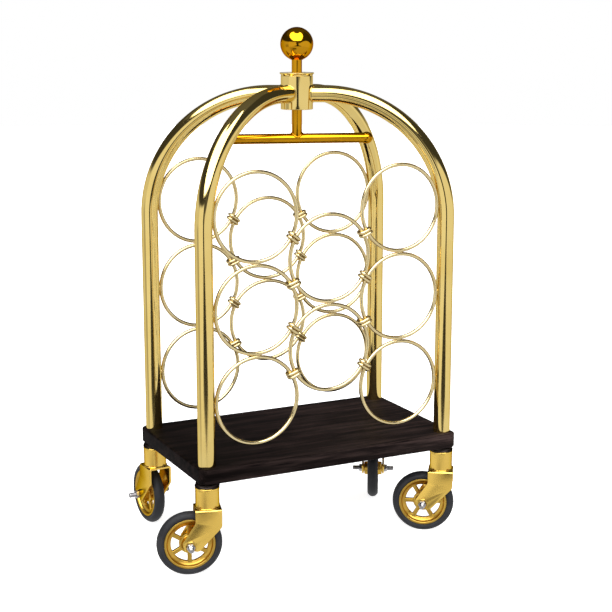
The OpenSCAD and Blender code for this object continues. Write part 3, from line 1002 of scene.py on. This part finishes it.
# The room, as the polished brass shows it: what stands where round the cart, in degrees
# from the camera's side and up from the horizon, and how brightly it shines.
# Each line: from, to, lowest, highest, blur of the edges, radiance, and which edges lean.
STUDIO = (
    (-180, 180, -90, -13, 2, 0.88, ""),          # pale floor
    (-62, 120, -90, -13, 6, 0.80, ""),           # the floor in front, further from the light
    (-52, -14, -80, -24, 8, 0.52, ""),           # the floor between the reflectors
    (-32, -2, -38, -27, 3, 0.22, ""),            # the floor by the camera
    (-180, 180, -15, 5, 3, 0.75, ""),            # backdrop near the horizon
    (-128, -56, -17, 12, 3, 0.80, ""),           # backdrop on the left
    (-58, 2, -17, 14, 2, 0.98, ""),              # left reflector
    (22, 130, 0, 56, 4, 0.05, ""),               # unlit wall and ceiling on the right
    (4, 112, -17, 16.5, 2, 0.92, "arched"),      # right reflector
    (-84, -60, -17, -3, 4, 0.50, ""),            # gap beyond the left reflector
    (-150, 4, 14, 40, 3, 0.05, ""),              # unlit wall on the left
    (-102, 31, 21.5, 76, 1.5, 4.6, "softbox"),   # overhead softbox
    (-60, 0, -18, 5, 1.5, 0.045, "kite"),        # gap that the camera looks through
    (-4, 11, -1, 17, 2, 0.08, ""),               # the same gap above the camera
)
ROOM_RADIANCE = 0.13
ARCH_MIDDLE, ARCH_SPAN = 62, 130     # the right reflector's top curves down from its middle
GAP_MIDDLE, GAP_TIP, GAP_WIDE_AT = 6, -17.3, -15.2      # the gap widens upwards from its tip
GAP_HALF, GAP_WIDE, GAP_CLOSE = 7, 31, 4.2              # then narrows, by so much for each degree up
SOFTBOX_LEAN = 1.15                  # degrees right for each degree up, along its right edge
SOFTBOX_RISE = 0.53                  # degrees up for each degree left of its front corner
SOFTBOX_CORNER = -25


def add_world():
    """The studio for the lights and reflections, and plain white behind the cart."""
    world = bpy.data.worlds.new("studio")
    world.use_nodes = True
    tree = world.node_tree
    tree.nodes.clear()
    generated = add(tree, "TexCoord").outputs["Generated"]
    turned = add(tree, "VectorRotate", {"rotation_type": "Z_AXIS"}, Vector=generated, Angle=-VIEW_AZIMUTH)
    axes = add(tree, "SeparateXYZ", Vector=turned.outputs[0]).outputs

    def math_node(operation, *values):
        return add(tree, "Math", {"operation": operation},
                   **{f"i{i}": value for i, value in enumerate(values)}).outputs[0]

    def step(value, edge, blur):
        made = add(tree, "MapRange", {"interpolation_type": "SMOOTHSTEP"}, Value=value)
        made.inputs[1].default_value, made.inputs[2].default_value = edge - blur, edge + blur
        return made.outputs[0]

    behind = math_node("MULTIPLY", axes["Y"], -1.0)
    across = math_node("DEGREES", math_node("ARCTAN2", axes["X"], behind))
    height = math_node("DEGREES", math_node("ARCSINE", axes["Z"]))
    off_middle = math_node("SUBTRACT", across, ARCH_MIDDLE)
    sagged = math_node("DIVIDE", math_node("MULTIPLY", off_middle, off_middle), ARCH_SPAN)
    arched = math_node("ADD", height, sagged)
    softbox_low = next(line[2] for line in STUDIO if line[-1] == "softbox")
    leaning = math_node("MULTIPLY_ADD", math_node("SUBTRACT", height, softbox_low), -SOFTBOX_LEAN, across)
    beyond = math_node("MAXIMUM", math_node("SUBTRACT", SOFTBOX_CORNER, across), 0.0)
    lowered = math_node("MULTIPLY_ADD", beyond, -SOFTBOX_RISE, height)
    gap_open = GAP_WIDE / (GAP_WIDE_AT - GAP_TIP)
    opening = math_node("MULTIPLY", math_node("SUBTRACT", height, GAP_TIP), gap_open)
    closing = math_node("MULTIPLY_ADD", math_node("SUBTRACT", height, GAP_WIDE_AT), -GAP_CLOSE,
                        float(GAP_WIDE))
    narrowed = math_node("MINIMUM", opening, math_node("MAXIMUM", closing, float(GAP_HALF)))
    kite = math_node("SUBTRACT", math_node("ABSOLUTE", math_node("SUBTRACT", across, GAP_MIDDLE)), narrowed)
    # Left edge, right edge, bottom and top are each measured along one of these.
    edges = {"": (across, across, height, height), "arched": (across, across, height, arched),
             "softbox": (across, leaning, lowered, height), "kite": (across, kite, height, height)}
    level = math_node("ADD", ROOM_RADIANCE, 0.0)
    for left, right, low, high, blur, radiance, lean in STUDIO:
        from_left, from_right, from_low, from_high = edges[lean]
        mask = math_node("MULTIPLY", step(from_low, low, blur),
                         math_node("SUBTRACT", 1.0, step(from_high, high, blur)))
        if left > -180:
            sides = math_node("MULTIPLY", step(from_left, left, blur),
                              math_node("SUBTRACT", 1.0, step(from_right, right, blur)))
            mask = math_node("MULTIPLY", mask, sides)
        change = math_node("SUBTRACT", radiance, level)
        level = math_node("MULTIPLY_ADD", mask, change, level)
    room = add(tree, "Background", Color=(1, 1, 1, 1), Strength=level).outputs[0]
    white = add(tree, "Background", Color=(1, 1, 1, 1), Strength=1.0).outputs[0]
    seen = add(tree, "LightPath").outputs["Is Camera Ray"]
    both = add(tree, "MixShader", i0=seen, i1=room, i2=white).outputs[0]
    add(tree, "OutputWorld", Surface=both)
    bpy.context.scene.world = world


add_camera()
add_floor()
add_world()
bpy.context.scene.view_settings.view_transform = "Standard"
